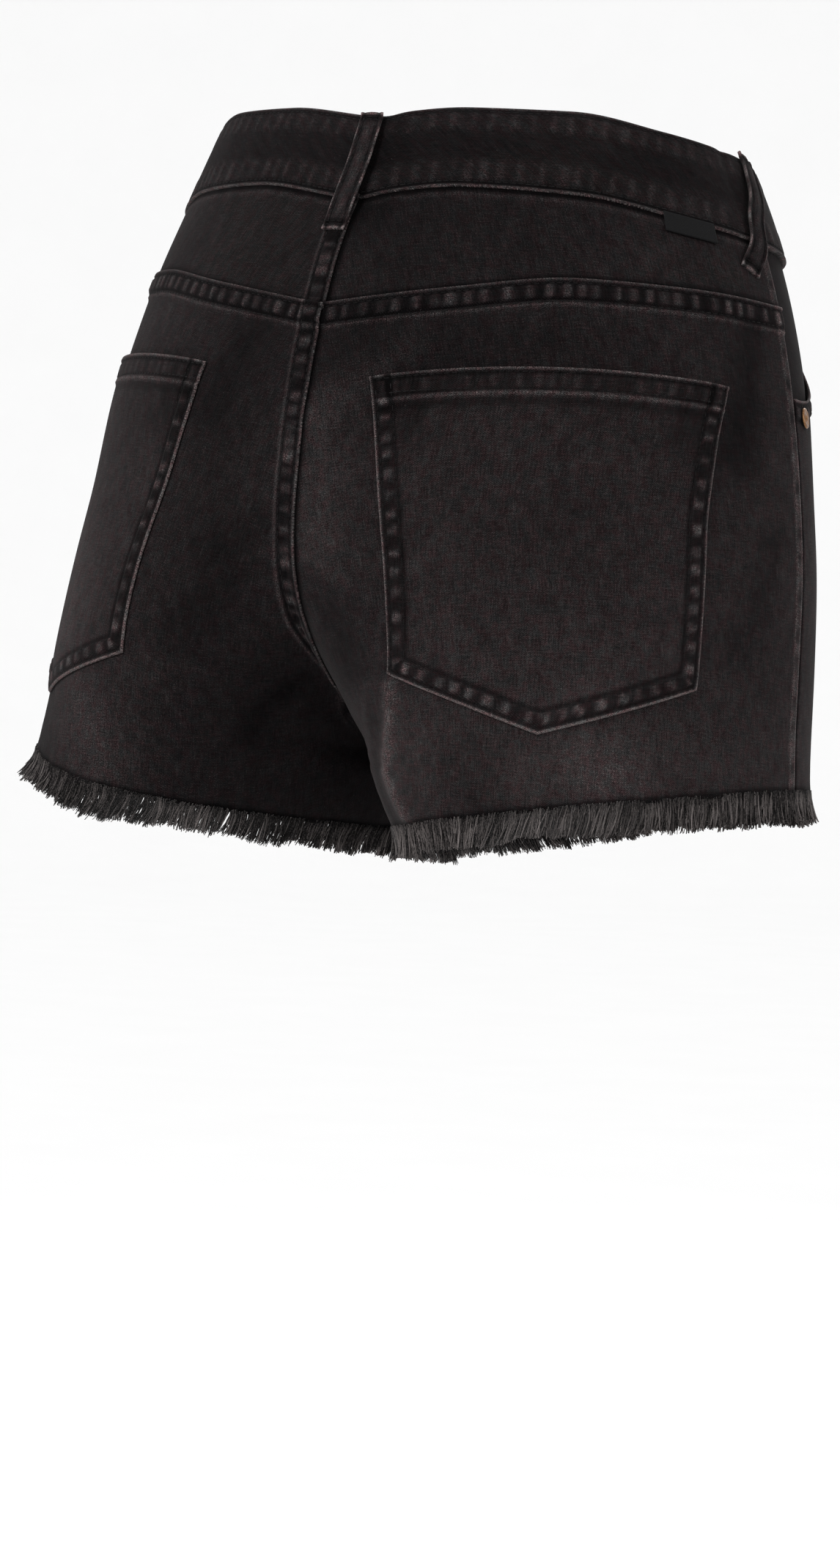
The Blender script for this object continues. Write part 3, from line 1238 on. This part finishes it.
def thread_ways(draw, side, turns, at, arc, clump, middle, lean):
    """How each thread lies: its length, leans, curl, start, layer and thickness."""
    count, clumps, end = len(at), clump.max() + 1, arc[-1]
    short = draw.uniform(0, 1, count) < SHORT_SHARE
    length = FRINGE_LENGTH * draw.uniform(0.90, 1.08, clumps)[clump] * draw.uniform(0.84, 1.04, count)
    length = length * (1 + wander(draw, end, 22, 0.07)(at)) * np.where(short, SHORT_LENGTH, 1.0)
    slant = lean * (1 + wander(draw, end, 30, 0.5)(at)) + draw.normal(0, 0.07, clumps)[clump]
    loose = draw.uniform(0, 1, count) < LOOSE_SHARE
    slant = np.where(loose, lean, slant) + draw.normal(0, 0.08, count)
    kick = draw.normal(0.10, 0.10, clumps)[clump] * ~loose + draw.normal(0, 0.05, count)
    if side == LEFT:
        kick = kick + HEM_FLARE * hump(np.interp(at, arc, turns), HEM_FLARE_TURN, HEM_FLARE_SPREAD)
    gather = (middle - at) * draw.uniform(0.0, 0.25, count)
    bend = draw.normal(0, 0.05, count) + wander(draw, end, 14, 0.05)(at)
    start_up = draw.uniform(0.0, 1.6, count)
    layer = draw.uniform(-0.9, 0.3, count)
    width = draw.uniform(*THREAD_RADIUS, count)
    return Ways(length, slant, kick, loose, gather, bend, start_up, layer, width)


def thread_places(root, outs, at, arc, ways, strand):
    """The corners of every thread, from its root on the hem to its end."""
    place, out = at_distance(at, arc, root), at_distance(at, arc, outs)
    tangent = at_distance(at, arc, np.gradient(root, arc, axis=0))
    tangent /= np.linalg.norm(tangent, axis=1, keepdims=True)
    down = np.cross(tangent, out)
    down *= -np.sign(down[:, 2:3])
    down /= np.linalg.norm(down, axis=1, keepdims=True)
    corners = []
    for x, y, ring in strand:
        step, thick = THREAD_RINGS[round(ring)], THREAD_TAPER[round(ring)] * ways.width
        fall = ways.length * step - ways.start_up * (1 - step)
        swing = ways.slant * ways.length * step**1.4 + ways.gather * step
        swing = swing + ways.bend * ways.length * math.sin(3.1 * step) + x * thick
        rise = ways.layer + ways.kick * ways.length * step**1.7 + y * thick
        corners.append(place + down * fall[:, None] + tangent * swing[:, None] + out * rise[:, None])
    return np.stack(corners, axis=1)


def thread_tones(draw, at, end, clump, loose, level, strand):
    """A tone for every corner: by clump and thread, and darker at the root."""
    own = level + draw.normal(0, 0.07, clump.max() + 1)[clump] + draw.normal(0, 0.24, len(at))
    own = np.where(loose, own * LOOSE_TONE, own) + wander(draw, end, 26, 0.07)(at)
    shade = np.interp(strand[:, 2], np.arange(len(THREAD_SHADE)), THREAD_SHADE)
    return np.clip(np.clip(own, 0.02, 1)[:, None] * shade[None, :], 0, 1)


def frayed_hem(node, side, turns, seed, lean):
    """The hem's loose threads: clumps that lean, curl and part, in mixed tones."""
    draw = np.random.default_rng(seed)
    root, outs = cloth(side, turns, line_height("hem", side, turns))
    arc = cumulated(root, 0)
    end = arc[-1]
    at = np.sort(draw.uniform(0, end, int(end * THREADS_PER_MM)))
    clump_ends = np.cumsum(draw.uniform(1.4, 4.4, int(end)))
    clump = np.searchsorted(clump_ends, at)
    middle = np.concatenate([[0], clump_ends])[clump] + 1.4
    ways = thread_ways(draw, side, turns, at, arc, clump, middle, lean)
    strand, faces = strand_shape(len(THREAD_RINGS))
    places = thread_places(root, outs, at, arc, ways, strand)
    tones = thread_tones(draw, at, end, clump, ways.loose, FRINGE_TONE[side], strand)
    mesh = repeated(node, places, faces, tones, FRAYED)
    return finish_piece(bpy.data.objects.new(f"{node}_threads", mesh), node)


def stitch_shape():
    """One stitch: a small rounded grain that lies along its row."""
    shape = bmesh.new()
    bmesh.ops.create_uvsphere(shape, u_segments=5, v_segments=4, radius=1.0)
    bmesh.ops.rotate(shape, cent=(0, 0, 0), matrix=Matrix.Rotation(math.pi / 2, 3, "Y"), verts=shape.verts)
    bmesh.ops.scale(shape, vec=STITCH_SIZE, verts=shape.verts)
    return parts_of(shape)


def sew(name, rows):
    """Every stitch of some rows, as one mesh."""
    points, faces = stitch_shape()
    draw = random.Random(7)
    stitches, tones = [], []
    for path, outs in rows:
        arc = cumulated(path, 0)
        for at in np.arange(draw.uniform(0.5, 2.0), arc[-1] - 1, STITCH_PITCH):
            run = at_distance(at + 0.8, arc, path) - at_distance(at - 0.8, arc, path)
            if np.linalg.norm(run) < 1e-3:
                continue
            run /= np.linalg.norm(run)
            out = at_distance(at, arc, outs)
            out -= run * (out @ run)
            out /= np.linalg.norm(out)
            axes = np.stack([run, np.cross(out, run), out])
            stitches.append(points @ axes + at_distance(at, arc, path))
            tones.append(draw.uniform(0.2, 0.8))
    mesh = repeated(name, np.array(stitches), faces, np.repeat(tones, len(points)), STITCHES)
    return finish_piece(bpy.data.objects.new(name, mesh), None)


# Profiles of turned metal: radius and height, from the middle of the face to the back.
BUTTON_PROFILE = (
    (0.0, 2.7), (1.3, 2.7), (1.7, 2.3), (2.6, 2.2), (5.2, 2.3), (6.2, 2.6), (6.8, 3.1), (7.5, 3.3),
    (8.1, 3.0), (8.4, 2.3), (8.2, 1.6), (7.4, 1.1), (4.0, 0.9), (3.2, 0.6), (3.2, 0.0), (0.0, 0.0),
)
RIVET_PROFILE = (
    (0.0, 1.5), (0.9, 1.45), (1.3, 1.05), (2.0, 0.85), (2.7, 0.95), (3.4, 1.15), (4.0, 0.9),
    (4.3, 0.45), (4.1, 0.1), (3.4, 0.0), (0.0, 0.0),
)
SPUN_SIDES = 40


def spun(name, profile, centre, out, node):
    """A turned metal part that faces out of the cloth."""
    shape = bmesh.new()
    low = [shape.verts.new((radius * MM, 0, height * MM)) for radius, height in profile]
    edges = [shape.edges.new(pair) for pair in zip(low, low[1:])]
    bmesh.ops.spin(
        shape, geom=low + edges, cent=(0, 0, 0), axis=(0, 0, 1), angle=math.tau, steps=SPUN_SIDES,
        use_merge=True,
    )
    bmesh.ops.remove_doubles(shape, verts=shape.verts, dist=1e-6)
    bmesh.ops.recalc_face_normals(shape, faces=shape.faces)
    facing = Vector(out).to_track_quat("Z", "Y").to_matrix()
    bmesh.ops.transform(shape, matrix=facing.to_4x4(), verts=shape.verts)
    bmesh.ops.translate(shape, vec=Vector(centre) * MM, verts=shape.verts)
    mesh = finished_mesh(name, shape, METAL)
    return finish_piece(bpy.data.objects.new(name, mesh), node)


def make_button():
    """The button, in the middle of the band's lap."""
    turn = np.array([-1.0])
    height = (line_height("waist", RIGHT, turn) + line_height("band_seam", RIGHT, turn)) / 2
    centre, out = cloth(RIGHT, turn, height, BAND_PROUD + BAND_THICKNESS + 1.0)
    return spun("jeans_button", BUTTON_PROFILE, centre[0], out[0], "button")


def make_rivets():
    """A rivet at each end of the front pockets' openings."""
    for name, side in SIDES:
        for level, corner in (("upper", SIDE_SEAM - SCOOP_WIDTH), ("lower", SIDE_SEAM)):
            turn = np.array([corner - RIVET_INSET[level]])
            height = scoop_top(side, turn, under=0) - RIVET_BELOW
            centre, out = cloth(side, turn, height, 0.5)
            spun(f"pocket_rivet_{level}_{name}", RIVET_PROFILE, centre[0], out[0], f"rivet_{level}_{name}")


def make_zip():
    """The tape behind the fly, and its two rows of teeth."""
    half = np.linspace(0, ZIP_HALF_WIDTH, 12) / HIP_TURN
    height = np.linspace(ZIP_TOP, FLY_BOTTOM + 4, 60)[:, None]
    parts = []
    for side, turn in ((RIGHT, -1 + half[::-1]), (LEFT, -1 + half[1:])):
        turn = np.broadcast_to(turn[None, :], (len(height), len(turn)))
        parts.append(cloth(side, turn, np.broadcast_to(height, turn.shape), -DENIM - 0.9))
    points, outs = (np.concatenate([parts[0][k], parts[1][k]], axis=1) for k in (0, 1))
    plain = np.zeros(points.shape[:2])
    tape = cloth_piece("zip_tape", points, outs, plain, plain, TAPE, wall=0.7)
    shape = bmesh.new()
    middle = len(half) - 1
    centre, out = points[:, middle], outs[:, middle]
    arc = cumulated(centre, 0)
    for k, at in enumerate(np.arange(9, arc[-1] - 4, TOOTH_PITCH)):
        spot = at_distance(at, arc, centre) - at_distance(at, arc, out) * 1.2
        spot[0] += TOOTH_STAGGER if k % 2 else -TOOTH_STAGGER
        made = bmesh.ops.create_cube(shape, size=1.0)["verts"]
        bmesh.ops.scale(shape, vec=TOOTH_SIZE, verts=made)
        bmesh.ops.translate(shape, vec=spot, verts=made)
    bmesh.ops.scale(shape, vec=(MM, MM, MM), verts=shape.verts)
    mesh = finished_mesh("zip_teeth", shape, METAL, smooth=False)
    teeth = finish_piece(bpy.data.objects.new("zip_teeth", mesh), None)


# ---- Putting it together ----

PANEL_KINDS = {
    "yoke": make_yoke,
    "back": make_back,
    "front": make_front,
    "back_pocket": make_back_pocket,
    "front_pocket": make_front_pocket,
}
PANELS = {}
for name, side in SIDES:
    for kind, make in PANEL_KINDS.items():
        PANELS[f"{kind}_{name}"] = make(f"{kind}_{name}", side), CUT[kind]
PANELS["waistband"] = make_waistband(), CUT["waistband"]
for loop in LOOPS:
    PANELS[loop.name] = make_belt_loop(loop), CUT["belt_loop"]
PANELS["woven_tab"] = make_tab(), CUT["woven_tab"]

FRINGES = {}
for name, side in SIDES:
    for part, centre, seed, lean in (("back", 1, 71, -0.30), ("front", -1, 75, 0.20)):
        turns = np.linspace(SIDE_SEAM, centre, 240)
        node = f"fringe_{part}_{name}"
        FRINGES[f"{part}_{name}"] = frayed_hem(node, side, turns, seed + side, lean * side)

STITCHING = {name: sew(name, rows) for name, rows in SEWN.items()}
SEWN_TO = {
    "yoke_seam_stitches": "back_right",
    "centre_back_stitches": "back_left",
    "back_pocket_stitches": "back_pocket_right",
    "front_pocket_stitches": "front_right",
    "fly_stitches": "front_left",
    "waistband_stitches": "waistband",
    "belt_loop_stitches": "belt_loop_back",
}

for key, (made, flat) in PANELS.items():
    extra = [FRINGES[key]] if key in FRINGES else []
    extra += [STITCHING[name] for name, panel in SEWN_TO.items() if panel == key]

make_zip()
make_button()
make_rivets()
for slot in bpy.data.objects["zip_slider"].material_slots:
    slot.material = METAL


# ---- Studio ----

CAMERA_AZIMUTH, CAMERA_ELEVATION, CAMERA_ROLL = 213, 2, 2
CAMERA_DISTANCE = 2.0
CAMERA_LENS = 109.0
AIM = (-0.021, -0.255)
FLOOR_RADIUS = 9.0
FLOOR_LEVEL = -0.85
WALL_RADIUS = 3.0
WALL_STEPS = 12


def towards(azimuth, elevation):
    """The direction to a place round the shorts: 0 degrees is the front, 90 the wearer's left."""
    a, e = math.radians(azimuth), math.radians(elevation)
    return Vector((math.sin(a) * math.cos(e), -math.cos(a) * math.cos(e), math.sin(e)))


def make_camera():
    """The camera's own axes place its target, so the garment sits in the upper part of the frame."""
    back = towards(CAMERA_AZIMUTH, CAMERA_ELEVATION)
    level = (-back).cross(Vector((0, 0, 1))).normalized()
    upright = level.cross(-back)
    roll = math.radians(CAMERA_ROLL)
    across = level * math.cos(roll) + upright * math.sin(roll)
    upward = upright * math.cos(roll) - level * math.sin(roll)
    place = across * AIM[0] + upward * AIM[1] + back * CAMERA_DISTANCE
    data = bpy.data.cameras.new("camera")
    data.lens = CAMERA_LENS
    data.sensor_width = 36
    data.clip_end = 50
    camera = bpy.data.objects.new("camera", data)
    bpy.context.scene.collection.objects.link(camera)
    axes = Matrix((across, upward, back)).transposed().to_4x4()
    camera.matrix_world = Matrix.Translation(place) @ axes
    bpy.context.scene.camera = camera


def studio_surface(name, colour):
    """Matt painted board."""
    made = Finish(name)
    grain = made.noise(made.body(0.001), 6.0, 2.0, 0.5)
    tint = made.blend(made.span(grain, 0.3, 0.7), colour, tuple(c * 0.99 for c in colour))
    return made.set(Base_Color=tint, Roughness=0.9, Specular_IOR_Level=0.1)


def make_studio():
    """A pale floor that curves up on every side into a pale wall."""
    shape = bmesh.new()
    bmesh.ops.create_circle(shape, cap_ends=True, radius=FLOOR_RADIUS, segments=96)
    edges = [edge for edge in shape.edges if edge.is_boundary]
    for step in range(1, WALL_STEPS + 1):
        angle = math.pi / 2 * step / WALL_STEPS
        ring = bmesh.ops.extrude_edge_only(shape, edges=edges)["geom"]
        verts = [part for part in ring if isinstance(part, bmesh.types.BMVert)]
        edges = [part for part in ring if isinstance(part, bmesh.types.BMEdge)]
        radius = FLOOR_RADIUS + WALL_RADIUS * math.sin(angle)
        for vert in verts:
            flat = Vector((vert.co.x, vert.co.y, 0)).normalized()
            vert.co = (flat.x * radius, flat.y * radius, WALL_RADIUS * (1 - math.cos(angle)))
    bmesh.ops.recalc_face_normals(shape, faces=shape.faces)
    bmesh.ops.translate(shape, vec=(0, 0, FLOOR_LEVEL), verts=shape.verts)
    mesh = finished_mesh("studio_floor", shape, studio_surface("pale_floor", (0.93, 0.93, 0.93)))
    floor = bpy.data.objects.new("studio_floor", mesh)
    bpy.context.scene.collection.objects.link(floor)


def area_light(name, azimuth, elevation, distance, size, power):
    """A round soft light that faces the shorts."""
    data = bpy.data.lights.new(name, "AREA")
    data.shape = "DISK"
    data.size = size
    data.energy = power
    light = bpy.data.objects.new(name, data)
    back = towards(azimuth, elevation)
    light.location = back * distance + Vector((0, 0, -0.12))
    light.rotation_mode = "QUATERNION"
    light.rotation_quaternion = back.to_track_quat("Z", "Y")
    bpy.context.scene.collection.objects.link(light)


def make_light():
    """A white room, and three soft lights that give the cloth its relief."""
    scene = bpy.context.scene
    world = bpy.data.worlds.new("studio")
    world.use_nodes = True
    background = world.node_tree.nodes["Background"].inputs
    background["Color"].default_value = (1, 1, 1, 1)
    background["Strength"].default_value = 1.06
    scene.world = world
    scene.view_settings.view_transform = "Standard"
    area_light("key", 172, 34, 1.7, 0.6, 20)
    area_light("fill", 262, 20, 1.9, 0.9, 7)
    area_light("front", 20, 30, 1.9, 0.9, 14)


make_camera()
make_studio()
make_light()
